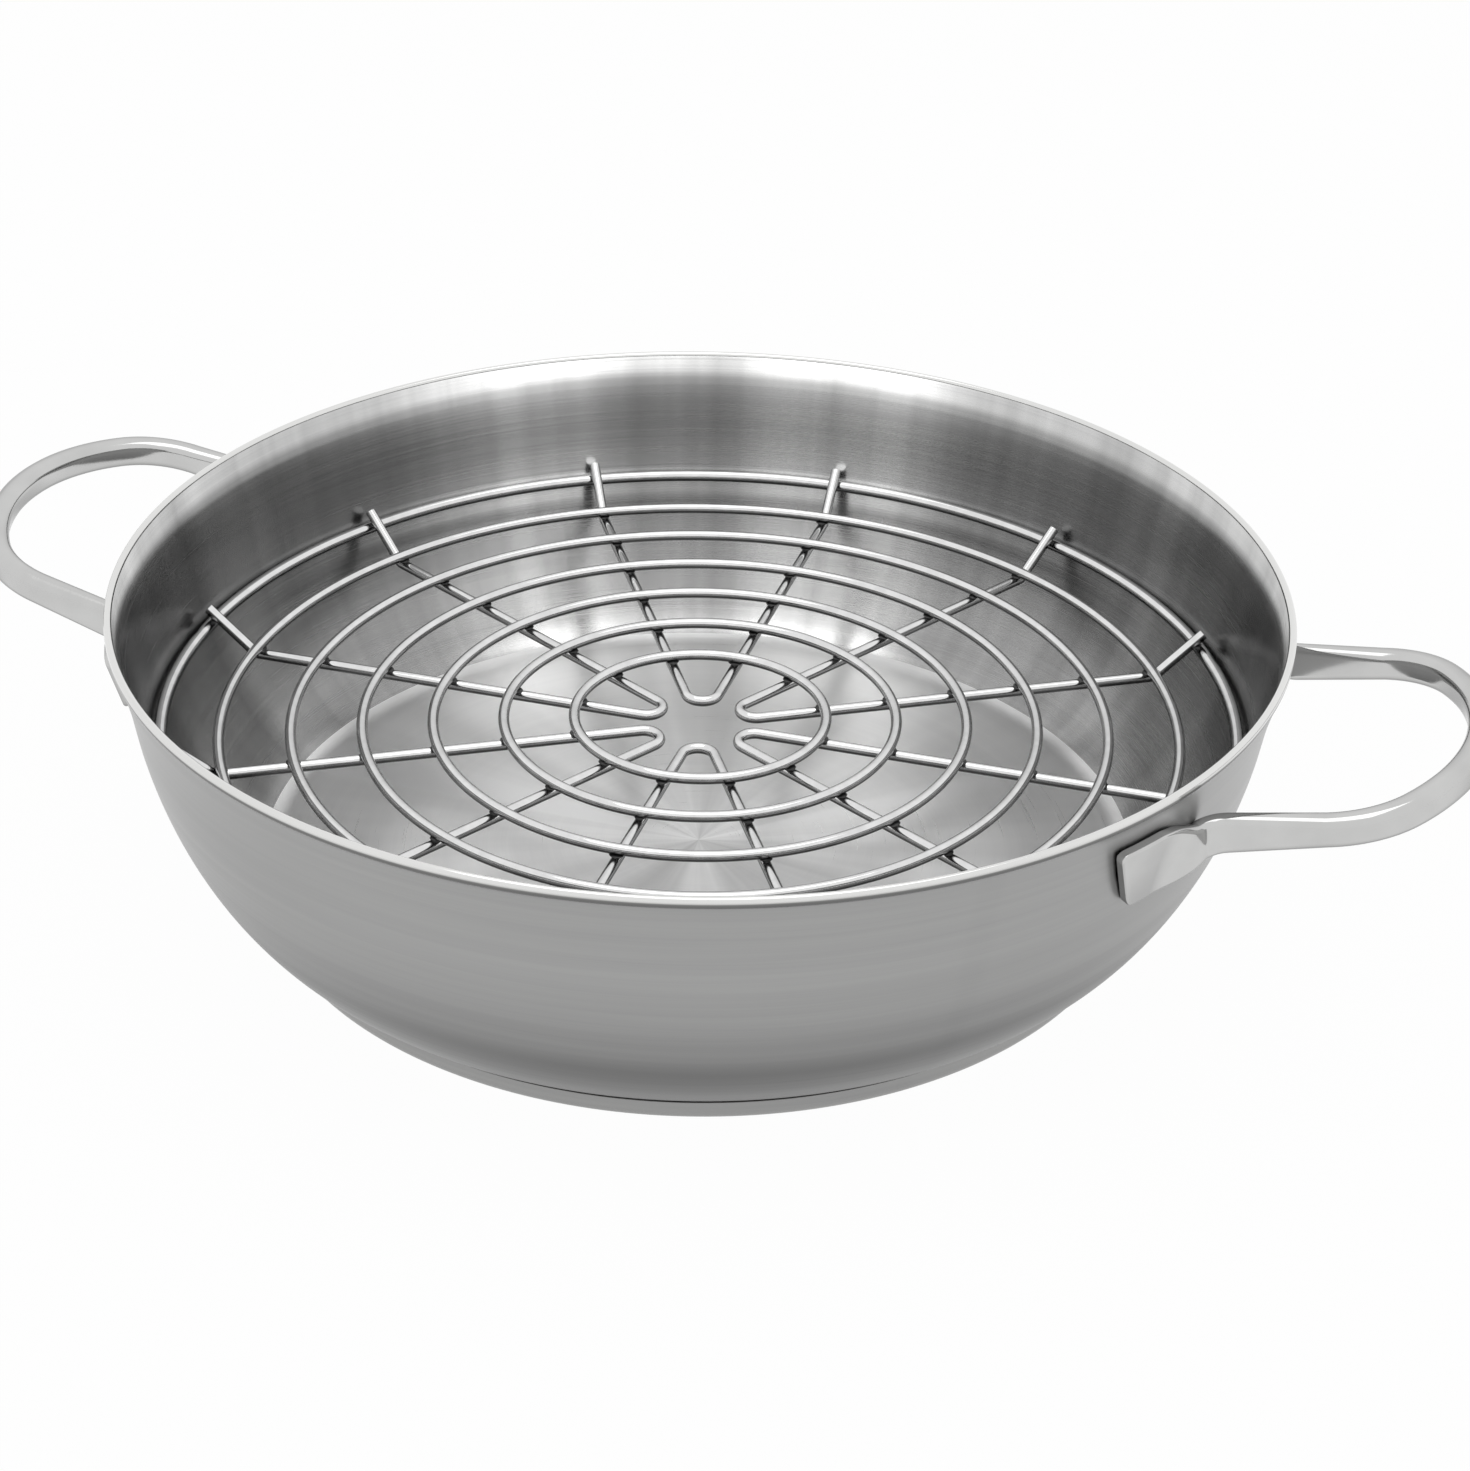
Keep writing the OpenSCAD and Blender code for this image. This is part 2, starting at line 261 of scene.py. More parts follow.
def spread(tree, source, low, high):
    return put(tree, "ShaderNodeMapRange", {"Value": source, "From Min": noiseSpan[0], "From Max": noiseSpan[1],
                                            "To Min": low, "To Max": high}).outputs[0]


def fade(tree, source, span, low, high):
    return put(tree, "ShaderNodeMapRange", {"Value": source, "From Min": span[0], "From Max": span[1],
                                            "To Min": low, "To Max": high},
               interpolation_type="SMOOTHSTEP").outputs[0]


def dim(tree, shader, share):
    color = shader.inputs["Base Color"].links[0].from_socket
    dimmed = put(tree, "ShaderNodeVectorMath", {0: color, "Scale": share}, operation="SCALE")
    tree.links.new(dimmed.outputs[0], shader.inputs["Base Color"])


# painted light and shade by height: how bright the metal is painted at each height, from a look's list of
# millimetres and shares
def paintedLightRamp(tree, height, stops):
    top = stops[-1][0]
    share = addMath(tree, "DIVIDE", height, top * mm)
    ramp = put(tree, "ShaderNodeValToRGB", {0: share})
    ramp.color_ramp.interpolation = "EASE"
    while len(ramp.color_ramp.elements) < len(stops):
        ramp.color_ramp.elements.new(0.5)    # anywhere, since each is placed below
    for element, (z, level) in zip(ramp.color_ramp.elements, stops):
        element.position = z / top
        element.color = (level, level, level, 1)
    return ramp.outputs[0]


# painted reflection: the streaks and glints scale the base colour
def paintedSheenShare(tree, place, look):
    sheen = put(tree, "ShaderNodeGroup", node_tree=paintedRoundSheen)
    tree.links.new(place, sheen.inputs["Place"])
    sheen.inputs["Streaks"].default_value = look["streaks"]
    for label, (turn, wide) in zip(("First", "Second"), look["glints"]):
        angle = math.radians(turn)
        sheen.inputs[label + " Heading"].default_value = (math.cos(angle), math.sin(angle), 0)
        sheen.inputs[label + " Spread"].default_value = 1 - math.cos(math.radians(wide))
    share = addMath(tree, "MULTIPLY_ADD", sheen.outputs["Glint"], look["sheen"], 1.0)
    return addMath(tree, "MULTIPLY", share, spread(tree, sheen.outputs["Streak"], *look["streakRange"]))


# tips the lip's shading up, as if the metal curled over towards the rim
def curlNormal(tree, height, look):
    low, high, lift = look["curl"]
    rise = put(tree, "ShaderNodeMapRange", {"Value": height, "From Min": low * mm, "From Max": high * mm,
                                            "To Max": lift}).outputs[0]
    tilt = put(tree, "ShaderNodeCombineXYZ", {2: rise})
    normal = put(tree, "ShaderNodeNewGeometry").outputs["Normal"]
    curled = put(tree, "ShaderNodeVectorMath", {0: normal, 1: tilt.outputs[0]}, operation="ADD")
    return put(tree, "ShaderNodeVectorMath", {0: curled.outputs[0]}, operation="NORMALIZE").outputs[0]


def turnedMetal(name, look):
    material, tree, shader, place = startMetal(name, look)
    grain = put(tree, "ShaderNodeGroup", node_tree=turnedGrain)
    tree.links.new(place, grain.inputs["Place"])
    for label in ("Lines", "Reach", "Clouds"):
        grain.inputs[label].default_value = look[label.lower()]
    tone = addMath(tree, "ADD", addMath(tree, "MULTIPLY", grain.outputs["Line"], grainLook["lineMix"]),
                   addMath(tree, "MULTIPLY", grain.outputs["Band"], grainLook["bandMix"]))
    tint(tree, shader, look, spread(tree, tone, 0.0, 1.0))
    height = put(tree, "ShaderNodeSeparateXYZ", {0: place}).outputs[2]
    share = 1.0
    # painted light and shade: the streaks, the glints and the list by height scale the base colour
    if "sheen" in look:
        share = paintedSheenShare(tree, place, look)
    if "heights" in look:
        share = addMath(tree, "MULTIPLY", paintedLightRamp(tree, height, look["heights"]), share)
    if share != 1.0:
        dim(tree, shader, share)
    # painted shade: a floor's colour dims where it is seen from above
    if "steep" in look:
        facing = put(tree, "ShaderNodeLayerWeight").outputs["Facing"]
        dim(tree, shader, fade(tree, facing, look["steep"][:2], look["steep"][2], 1.0))
    rough = addMath(tree, "ADD", spread(tree, grain.outputs["Line"], look["rough"][0], look["rough"][1]),
                    spread(tree, grain.outputs["Cloud"], -look["patchy"], look["patchy"]))
    tree.links.new(rough, shader.inputs["Roughness"])
    bump = put(tree, "ShaderNodeBump", {"Strength": look["bump"], "Distance": look["depth"],
                                        "Height": grain.outputs["Line"]})
    if "curl" in look:
        tree.links.new(curlNormal(tree, height, look), bump.inputs["Normal"])
    tree.links.new(bump.outputs[0], shader.inputs["Normal"])
    return material


def polishedMetal(name, look):
    material, tree, shader, place = startMetal(name, look)
    wear = put(tree, "ShaderNodeGroup", node_tree=polishWear)
    tree.links.new(place, wear.inputs["Place"])
    for label in ("Ripples", "Scratches"):
        wear.inputs[label].default_value = look[label.lower()]
    tint(tree, shader, look, spread(tree, wear.outputs["Ripple"], 0.0, 1.0))
    # painted shade: the lower side of a wire or bar and its outline are darkened in the base colour
    if "under" in look:
        normal = put(tree, "ShaderNodeNewGeometry").outputs["Normal"]
        tip = put(tree, "ShaderNodeSeparateXYZ", {0: normal}).outputs[2]
        facing = put(tree, "ShaderNodeLayerWeight").outputs["Facing"]
        below = fade(tree, tip, look["under"][:2], look["under"][2], 1.0)
        outline = fade(tree, facing, look["edge"][:2], 1.0, look["edge"][2])
        dim(tree, shader, addMath(tree, "MULTIPLY", below, outline))
    tree.links.new(spread(tree, wear.outputs["Scratch"], *look["rough"]), shader.inputs["Roughness"])
    bump = put(tree, "ShaderNodeBump", {"Strength": look["bump"], "Distance": look["depth"],
                                        "Height": wear.outputs["Ripple"]})
    tree.links.new(bump.outputs[0], shader.inputs["Normal"])
    return material


# the list by height: painted highlight and painted shade, how bright the metal is painted at each height in
# millimetres
# curl: from what height to what height the lip curls, and how far
# the painted glints: each one's place and width, in degrees round the pan
# the painted shade on a floor: between which facings it dims towards a view from above, and to what share
# under and edge: the same painted shade for the lower side of a wire or bar, and for its outline
finishes = {
    # the outside: painted shade darkens the lower bowl, and the upper wall is painted lighter
    "satinOutside": dict(dark=(0.37, 0.37, 0.37), light=(0.43, 0.43, 0.425), rough=(0.30, 0.38), patchy=0.015,
                         stretch=0.6, lines=3000.0, reach=0.8, clouds=10.0, bump=0.05, depth=0.0002,
                         heights=((0, 0.45), (14, 0.45), (24, 0.38), (35, 0.66), (46, 0.83), (58, 0.91),
                                  (82, 0.90))),
    # the inside: painted shade on the middle of the wall, a painted highlight on the lip, painted streaks and glints
    "brushedInside": dict(dark=(0.40, 0.40, 0.40), light=(0.48, 0.48, 0.475), rough=(0.20, 0.28), patchy=0.02,
                          stretch=0.7, lines=2600.0, reach=0.8, clouds=10.0, bump=0.05, depth=0.0002,
                          heights=((0, 0.85), (20, 0.90), (44, 0.78), (55, 0.66), (69, 0.59), (74, 0.70),
                                   (77, 1.25), (82, 1.35)),
                          curl=(72.5, 79.5, 0.9), streaks=8.0, streakRange=(0.78, 1.22), sheen=0.9,
                          glints=((91.0, 17.0), (132.0, 15.0))),
    # the floor: painted streaks and glints, and painted shade where it is seen from above
    "spunFloor": dict(dark=(0.74, 0.74, 0.74), light=(0.79, 0.79, 0.785), rough=(0.28, 0.34), patchy=0.02,
                      stretch=0.75, lines=2400.0, reach=1.0, clouds=9.0, bump=0.05, depth=0.0002,
                      streaks=2.4, streakRange=(0.8, 1.15), sheen=0.2, glints=((40.0, 60.0), (172.0, 70.0)),
                      steep=(0.05, 0.45, 0.66)),
    # the rim: a painted highlight on top of the bead, painted shade below it
    "polishedRim": dict(dark=(0.70, 0.70, 0.69), light=(0.78, 0.78, 0.77), rough=(0.10, 0.16), patchy=0.01,
                        stretch=0.3, lines=4000.0, reach=1.0, clouds=30.0, bump=0.03, depth=0.0001,
                        heights=((0, 0.16), (79.2, 0.16), (80.3, 0.22), (80.9, 1.0), (82, 1.0))),
    "turnedCap": dict(dark=(0.28, 0.28, 0.28), light=(0.34, 0.34, 0.335), rough=(0.30, 0.38), patchy=0.02,
                      stretch=0.6, lines=3200.0, reach=1.2, clouds=18.0, bump=0.08, depth=0.0002),
    "plainCore": dict(dark=(0.55, 0.55, 0.56), light=(0.66, 0.66, 0.67), rough=(0.4, 0.5), patchy=0.03,
                      stretch=0.0, lines=1800.0, reach=3.0, clouds=20.0, bump=0.1, depth=0.0002),
    # the rack's wires: painted shade on their lower side and along their outline
    "ringChrome": dict(dark=(0.70, 0.70, 0.70), light=(0.78, 0.78, 0.78), rough=(0.06, 0.12),
                       stretch=0.0, ripples=300.0, scratches=1500.0, bump=0.02, depth=0.0001,
                       under=(-0.3, 0.4, 0.09), edge=(0.32, 0.88, 0.13)),
    # small dark spots set where the wires cross
    "darkCrossingSpot": dict(dark=(0.05, 0.05, 0.05), light=(0.10, 0.10, 0.10), rough=(0.3, 0.45),
                     stretch=0.0, ripples=500.0, scratches=1500.0, bump=0.1, depth=0.0001),
    # the handles: painted shade on their lower side and along their outline
    "handlePolish": dict(dark=(0.54, 0.54, 0.535), light=(0.59, 0.59, 0.585), rough=(0.10, 0.15),
                         stretch=0.0, ripples=90.0, scratches=1100.0, bump=0.01, depth=0.0002,
                         under=(-0.9, -0.1, 0.5), edge=(0.45, 0.92, 0.22)),
}
metals = {}
for name, look in finishes.items():
    metals[name] = turnedMetal(name, look) if "lines" in look else polishedMetal(name, look)
print("scene: materials made:", ", ".join(metals))

# the trees that grow round pieces out of outlines and lines
growth = {
    "sharpSkin": 0.6,        # radians
    "sharpWeld": 1.2,
    "pathRadius": 0.2,       # of the circle that an outline is swept round, in metres
    "mergeNodes": 1e-6,      # metres
    "mergeFaces": 1e-7,
    "weldSegments": 14,
    "weldRings": 8,
    "weldSmallest": (0.8, 0.8, 0.9),
    "weldLargest": (1.2, 1.2, 1.1),
}


def socketTree(name, extra):
    return newTree(name, "GeometryNodeTree", [("Geometry", "NodeSocketGeometry", None), *extra,
                                              ("Finish", "NodeSocketMaterial", None)],
                   [("Geometry", "NodeSocketGeometry", None)])


# edges that turn by less than the sharp angle, in radians, are shaded smooth
def endTree(tree, given, made, geometry, sharp):
    angle = put(tree, "GeometryNodeInputMeshEdgeAngle").outputs["Unsigned Angle"]
    keep = put(tree, "FunctionNodeCompare", {0: angle, 1: sharp}, operation="LESS_THAN").outputs[0]
    shade = put(tree, "GeometryNodeSetShadeSmooth", {"Geometry": geometry, "Shade Smooth": keep}, domain="EDGE")
    real = put(tree, "GeometryNodeRealizeInstances", {"Geometry": shade.outputs[0]}).outputs[0]
    done = put(tree, "GeometryNodeSetMaterial", {"Geometry": real, "Material": given.outputs["Finish"]})
    tree.links.new(done.outputs[0], made.inputs[0])
    return tree


# turns an outline, drawn as radius and height, round the Z axis
def makeLatheTree():
    tree, given, made = socketTree("latheTree", [("Turns", "NodeSocketInt", 192),
                                                 ("Path Radius", "NodeSocketFloat", growth["pathRadius"])])
    away = addMath(tree, "MULTIPLY", given.outputs["Path Radius"], -1.0)
    shift = put(tree, "ShaderNodeCombineXYZ", {0: away})
    outline = put(tree, "GeometryNodeTransform", {"Geometry": given.outputs["Geometry"],
                                                  "Translation": shift.outputs[0], "Scale": (1, -1, 1)})
    outline = put(tree, "GeometryNodeMeshToCurve", {"Mesh": outline.outputs[0]})
    path = put(tree, "GeometryNodeCurvePrimitiveCircle", {"Resolution": given.outputs["Turns"],
                                                          "Radius": given.outputs["Path Radius"]})
    path = put(tree, "GeometryNodeSetCurveNormal", {"Curve": path.outputs["Curve"]}, mode="Z_UP")
    skin = put(tree, "GeometryNodeCurveToMesh", {"Curve": path.outputs[0], "Profile Curve": outline.outputs[0]})
    skin = put(tree, "GeometryNodeMergeByDistance", {"Geometry": skin.outputs[0], "Distance": growth["mergeNodes"]})
    return endTree(tree, given, made, skin.outputs[0], growth["sharpSkin"])


# draws a round wire along a line, as thick as the line's radius attribute says
def makeWireTree():
    tree, given, made = socketTree("wireTree", [("Sides", "NodeSocketInt", 16),
                                                ("Wire Radius", "NodeSocketFloat", 0.001)])
    line = put(tree, "GeometryNodeMeshToCurve", {"Mesh": given.outputs["Geometry"]})
    outline = put(tree, "GeometryNodeCurvePrimitiveCircle", {"Resolution": given.outputs["Sides"],
                                                             "Radius": given.outputs["Wire Radius"]})
    skin = put(tree, "GeometryNodeCurveToMesh", {"Curve": line.outputs[0], "Profile Curve": outline.outputs["Curve"],
                                                 "Fill Caps": True})
    return endTree(tree, given, made, skin.outputs[0], growth["sharpSkin"])


# sets a small flattened weld on each point
def makeWeldTree():
    tree, given, made = socketTree("weldTree", [("Width", "NodeSocketFloat", 0.002),
                                                ("Height", "NodeSocketFloat", 0.001), ("Seed", "NodeSocketInt", 4)])
    ball = put(tree, "GeometryNodeMeshUVSphere", {"Segments": growth["weldSegments"], "Rings": growth["weldRings"],
                                                  "Radius": 0.5})
    size = put(tree, "ShaderNodeCombineXYZ", {0: given.outputs["Width"], 1: given.outputs["Width"],
                                              2: given.outputs["Height"]})
    vary = put(tree, "FunctionNodeRandomValue", {"Min": growth["weldSmallest"], "Max": growth["weldLargest"],
                                                 "Seed": given.outputs["Seed"]}, data_type="FLOAT_VECTOR")
    size = put(tree, "ShaderNodeVectorMath", {0: size.outputs[0], 1: vary.outputs[0]}, operation="MULTIPLY")
    spots = put(tree, "GeometryNodeInstanceOnPoints", {"Points": given.outputs["Geometry"],
                                                       "Instance": ball.outputs["Mesh"], "Scale": size.outputs[0]})
    return endTree(tree, given, made, spots.outputs[0], growth["sharpWeld"])


latheTree = makeLatheTree()
wireTree = makeWireTree()
weldTree = makeWeldTree()
print("scene: lathe, wire and weld trees made")


def lineObject(name, points, closed=False, radii=None, edges=True):
    mesh = bpy.data.meshes.new(name)
    count = len(points)
    links = [(i, (i + 1) % count) for i in range(count if closed else count - 1)] if edges else []
    mesh.from_pydata(points, links, [])
    if radii:
        mesh.attributes.new("radius", "FLOAT", "POINT").data.foreach_set("value", radii)
    source = bpy.data.objects.new(name, mesh)
    scene.collection.objects.link(source)
    return source


def grow(source, tree, finish, **values):
    modifier = source.modifiers.new("grow", "NODES")
    modifier.node_group = tree
    values = {**values, "Finish": finish}
    for item in tree.interface.items_tree:
        if item.item_type == "SOCKET" and item.in_out == "INPUT" and item.name.replace(" ", "") in values:
            modifier[item.identifier] = values[item.name.replace(" ", "")]
    graph = bpy.context.evaluated_depsgraph_get()
    mesh = bpy.data.meshes.new_from_object(source.evaluated_get(graph))
    name = source.name
    source.modifiers.remove(modifier)
    bpy.data.objects.remove(source)
    mesh.name = name
    piece = bpy.data.objects.new(name, mesh)
    scene.collection.objects.link(piece)
    return piece


def settle(piece, body, slot, *nodes):
    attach(piece, body)
    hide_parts(*nodes)


def arc(middle, radius, start, end, steps):
    angles = [start + (end - start) * i / steps for i in range(steps + 1)]
    return [middle + radius * Vector((math.cos(angle), math.sin(angle))) for angle in angles]


# the drawn pan; this and every other piece's lengths are in millimetres
pan = {
    "wall": 1.0,
    "floor": 107.0,          # radius of the flat floor
    "foot": 10.8,            # how far the bowl starts out level
    "shoulder": 29.2,        # how far it runs in line with the flare
    "neck": 139.0,
    "flareHeight": 28.0,
    "bowlSteps": 40,
    "flareSteps": 16,
    "lipCurl": 0.5,          # how far the flare bows from straight
    "beadTall": 2.6,
    "beadWide": 1.9,
    "beadFrom": -60.0,       # degrees round the bead's own section, where it leaves the wall outside
    "beadTo": 200.0,         # and where it meets the wall inside
    "beadFromSteps": 6,
    "beadTopSteps": 16,
    "beadToSteps": 2,
    "beadGap": 0.2,          # how far below the bead the inner face ends
    "floorRows": (30, 60, 85, 100),
    "levelNormal": 0.9,      # faces whose normal is nearer to upright are floor
    "zoneGap": 0.1,
    "turns": 256,
}


# where the straight flare starts and ends, as radius and height
def flareEnds():
    topZ, rimR = rimTop / mm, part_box("pan_shell")[1].x / mm
    beadR = rimR - pan["beadWide"] / 2
    top = Vector((beadR + pan["wall"] / 2, topZ - pan["beadTall"] / 2))
    return Vector((pan["neck"], topZ - pan["flareHeight"])), top, beadR


def bezier(points, t):
    a, b, c, d = points
    return (1 - t) ** 3 * a + 3 * (1 - t) ** 2 * t * b + 3 * (1 - t) * t * t * c + t ** 3 * d


def beadOutline(beadR):
    half, topZ = pan["beadWide"] / 2, rimTop / mm
    low, high = Vector((beadR, topZ - pan["beadTall"] + half)), Vector((beadR, topZ - half))
    bead = arc(low, half, math.radians(pan["beadFrom"]), 0, pan["beadFromSteps"])
    bead += arc(high, half, 0, math.pi, pan["beadTopSteps"])
    return bead + arc(low, half, math.pi, math.radians(pan["beadTo"]), pan["beadToSteps"])


def panOutline():
    floorZ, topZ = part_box("pan_shell")[0].z / mm, rimTop / mm
    neck, top, beadR = flareEnds()
    lean = (top - neck).normalized()
    foot = Vector((pan["floor"], floorZ))
    bowl = [foot, foot + Vector((pan["foot"], 0)), neck - pan["shoulder"] * lean, neck]
    outside = [bezier(bowl, i / pan["bowlSteps"]) for i in range(pan["bowlSteps"] + 1)]
    across = Vector((lean.y, -lean.x))
    for i in range(1, pan["flareSteps"] + 1):
        t = i / pan["flareSteps"]
        outside.append(neck.lerp(top, t) - across * pan["lipCurl"] * math.sin(math.pi * t) ** 2)
    inside = []
    for i, point in enumerate(outside):
        ahead, behind = outside[min(i + 1, len(outside) - 1)], outside[max(i - 1, 0)]
        way = (ahead - behind).normalized() if i else Vector((1, 0))
        inside.append(point + pan["wall"] * Vector((-way.y, way.x)))
    outside = [p for p in outside if p.y < topZ - pan["beadTall"]]
    inside = [p for p in inside if p.y < topZ - pan["beadTall"] - pan["beadGap"]]
    under = [Vector((r, floorZ)) for r in (0, *pan["floorRows"])]
    raised = [Vector((p.x, p.y + pan["wall"])) for p in under]
    outline = under + outside + beadOutline(beadR) + inside[::-1] + raised[::-1]
    return [Vector((p.x, p.y, 0)) * mm for p in outline]


# faces point out of the solid once its volume comes out positive
def faceOut(piece):
    work = bmesh.new()
    work.from_mesh(piece.data)
    bmesh.ops.remove_doubles(work, verts=work.verts, dist=growth["mergeFaces"])
    if work.calc_volume(signed=True) < 0:
        bmesh.ops.reverse_faces(work, faces=work.faces)
    work.to_mesh(piece.data)
    work.free()
    return piece


def zoneFinishes(piece, finishNames, pickZone):
    piece.data.materials.clear()
    for name in finishNames:
        piece.data.materials.append(metals[name])
    for face in piece.data.polygons:
        face.material_index = pickZone(face.center, face.normal)


panZones = ["satinOutside", "brushedInside", "polishedRim", "spunFloor"]


def panZone(center, normal):
    outward = normal.x * center.x + normal.y * center.y
    if center.z > rimTop - (pan["beadTall"] + pan["zoneGap"]) * mm:
        inner = outward < 0 and center.z < rimTop - pan["beadWide"] / 2 * mm
        zone = "brushedInside" if inner else "polishedRim"
    elif normal.z > pan["levelNormal"]:
        zone = "spunFloor"
    else:
        zone = "satinOutside" if outward > 0 or normal.z < -pan["levelNormal"] else "brushedInside"
    return panZones.index(zone)


shell = faceOut(grow(lineObject("panSheet", panOutline()), latheTree, metals["brushedInside"],
                     Turns=pan["turns"], PathRadius=growth["pathRadius"]))
zoneFinishes(shell, panZones, panZone)
settle(shell, "pan", "pan_steel", "pan_shell")
print("scene: pan turned,", len(shell.data.polygons), "faces")

# the cap pressed over the base, with its edge broken where it meets the pan
cap = {
    "wall": 0.6,
    "round": 3.4,
    "edgeBreak": 0.22,
    "edgeDrop": 0.3,         # how far below the broken edge the side ends
    "outerRows": (0, 30, 60, 85, 100),
    "innerRows": (100, 60, 0),
    "outerSteps": 14,
    "innerSteps": 10,
    "edgeSteps": 8,
    "turns": 256,
}


def capOutline():
    radius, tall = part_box("base_cap")[1].x / mm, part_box("base_cap")[1].z / mm
    inner = cap["round"] - cap["wall"]
    corner = Vector((radius - cap["round"], cap["round"]))
    edge = Vector((radius - cap["wall"] / 2, tall - cap["edgeBreak"]))
    outline = [Vector((r, 0)) for r in cap["outerRows"]]
    outline += arc(corner, cap["round"], math.radians(-90), 0, cap["outerSteps"])
    outline += [Vector((radius, edge.y - cap["edgeDrop"]))]
    outline += [edge + Vector((cap["wall"] / 2 * math.cos(a), cap["edgeBreak"] * math.sin(a)))
                for a in (math.pi * i / cap["edgeSteps"] for i in range(cap["edgeSteps"] + 1))]
    outline += arc(corner, inner, 0, math.radians(-90), cap["innerSteps"])
    outline += [Vector((r, cap["wall"])) for r in cap["innerRows"]]
    return [Vector((p.x, p.y, 0)) * mm for p in outline]


base = faceOut(grow(lineObject("baseCap", capOutline()), latheTree, metals["turnedCap"], Turns=cap["turns"],
                    PathRadius=growth["pathRadius"]))
settle(base, "pan", "base_steel", "base_cap")
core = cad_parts["base_core"]
core.data.materials.clear()
core.data.materials.append(metals["plainCore"])
print("scene: base made")

# each handle is one bar, flattened at both ends into pads that lie round the wall
handle = {
    "thick": 6.0,            # the bar round the grip
    "tall": 7.6,
    "edge": 2.4,
    "armThick": 4.4,         # and along its arms
    "armTall": 9.5,
    "armEdge": 1.9,
    "gripOut": 50.0,         # how far the grip and its corners stand out from the wall
    "cornerOut": 20.2,
    "loopWide": 83.0,
    "cornerRound": 24.0,
    "splay": 4.4,            # degrees by which the arms spread towards the wall
    "rootRound": 7.0,
    "padDrop": 17.4,         # from the rim's top to the pads' middle
    "padTall": 17.8,
    "padLong": 10.8,
    "padTaper": 16.0,        # how long the arm takes to widen into its pad
    "padThick": 2.5,
    "padCorner": 2.2,
    "padRake": 23.0,         # degrees by which the pads' ends lean
    "padEdge": 0.6,
    "straightWiden": 0.7,    # how much of the widening is straight, the rest is eased
    "easedWiden": 0.3,
    "endBreak": 0.4,
    "endMiddle": 0.3,        # where the broken edge has its middle row
    "edgeLimit": 0.95,       # an edge's largest round, as a share of half the bar
    "weldGap": 0.02,
    "gripSteps": 30,
    "cornerSteps": 5,
    "turnSteps": 22,
    "armSteps": 8,
    "rootSteps": 14,
    "padSteps": 40,
    "padCornerSteps": 8,
}


def blend(low, high, share):
    return low + (high - low) * share


def ease(t):
    t = min(max(t, 0), 1)
    return t * t * (3 - 2 * t)


def roundedSection(halfThick, halfTall, edge):
    edge = min(edge, halfThick * handle["edgeLimit"], halfTall * handle["edgeLimit"])
    points = []
    for quarter, (sx, sy) in enumerate(((1, 1), (-1, 1), (-1, -1), (1, -1))):
        middle = Vector((sx * (halfThick - edge), sy * (halfTall - edge)))
        start = quarter * math.pi / 2
        points += arc(middle, edge, start, start + math.pi / 2, handle["cornerSteps"])
    return points


# the wall behind the pads: how it leans, and its radius at the height of their middle
def weldPlace():
    neck, top, _ = flareEnds()
    lean = math.atan2(top.x - neck.x, top.y - neck.y)
    height = rimTop / mm - handle["padDrop"]
    return lean, neck.x + (height - neck.y) * math.tan(lean), height


# half of the bar in the plane of its loop: the grip, its corner, the arm and the bend at its root
def barPlan(wallR):
    h = handle
    midR = wallR + h["weldGap"] + h["armThick"] / 2
    gripU, cornerAt = wallR + h["gripOut"], Vector((wallR + h["cornerOut"], h["loopWide"] / 2 - h["cornerRound"]))
    run = gripU - cornerAt.x
    gripR = (run * run + cornerAt.y ** 2 - h["cornerRound"] ** 2) / (2 * (run - h["cornerRound"]))
    gripAt = Vector((gripU - gripR, 0))
    gripTurn = math.atan2(cornerAt.y, cornerAt.x - gripAt.x)
    splay = math.radians(h["splay"])
    side, way = Vector((math.sin(splay), math.cos(splay))), Vector((-math.cos(splay), math.sin(splay)))
    armFrom = cornerAt + h["cornerRound"] * side
    rootLine = armFrom + h["rootRound"] * side
    along = -rootLine.dot(way)
    armLong = along - math.sqrt(along ** 2 - rootLine.length_squared + (midR + h["rootRound"]) ** 2)
    rootAt = rootLine + armLong * way
    rootAzimuth = math.atan2(rootAt.y, rootAt.x)
    plan = arc(gripAt, gripR, 0, gripTurn, h["gripSteps"])
    plan += arc(cornerAt, h["cornerRound"], gripTurn, math.pi / 2 - splay, h["turnSteps"])[1:]
    armShares = [i / h["armSteps"] for i in range(1, h["armSteps"] + 1)]
    flatness = [0.0] * len(plan) + armShares + [1.0] * h["rootSteps"]
    plan += [armFrom + armLong * way * i / h["armSteps"] for i in range(1, h["armSteps"] + 1)]
    plan += arc(rootAt, h["rootRound"], -math.pi / 2 - splay, rootAzimuth - math.pi, h["rootSteps"])[1:]
    return zip(plan, flatness)


# one row for each section: its place, which way is up, half its thickness and height, its edge and its rake
def barRows(lean, wallR, padZ):
    h = handle
    outward, sideways = Vector((math.cos(lean), 0, math.sin(lean))), Vector((0, 1, 0))
    planeUp = Vector((-math.sin(lean), 0, math.cos(lean)))
    rows = []
    for p, flat in barPlan(wallR):
        place = Vector((wallR, 0, padZ)) + (p.x - wallR) * outward + p.y * sideways
        rows.append((place, planeUp, blend(h["thick"], h["armThick"], flat) / 2,
                     blend(h["tall"], h["armTall"], flat) / 2, blend(h["edge"], h["armEdge"], flat), 0.0))
    return rows


# how far along the pad its sections lie, close together where its end is rounded and broken
def padSteps(padEnd):
    h = handle
    steps = [padEnd * i / h["padSteps"] for i in range(1, h["padSteps"])]
    quarter = math.pi / 2 / h["padCornerSteps"]
    steps += [padEnd - h["padCorner"] * (1 - math.sin(quarter * i)) for i in range(1, h["padCornerSteps"] + 1)]
    steps = sorted(x for x in steps if x < padEnd - h["endBreak"])
    return steps + [padEnd - h["endBreak"], padEnd - h["endBreak"] * h["endMiddle"], padEnd]


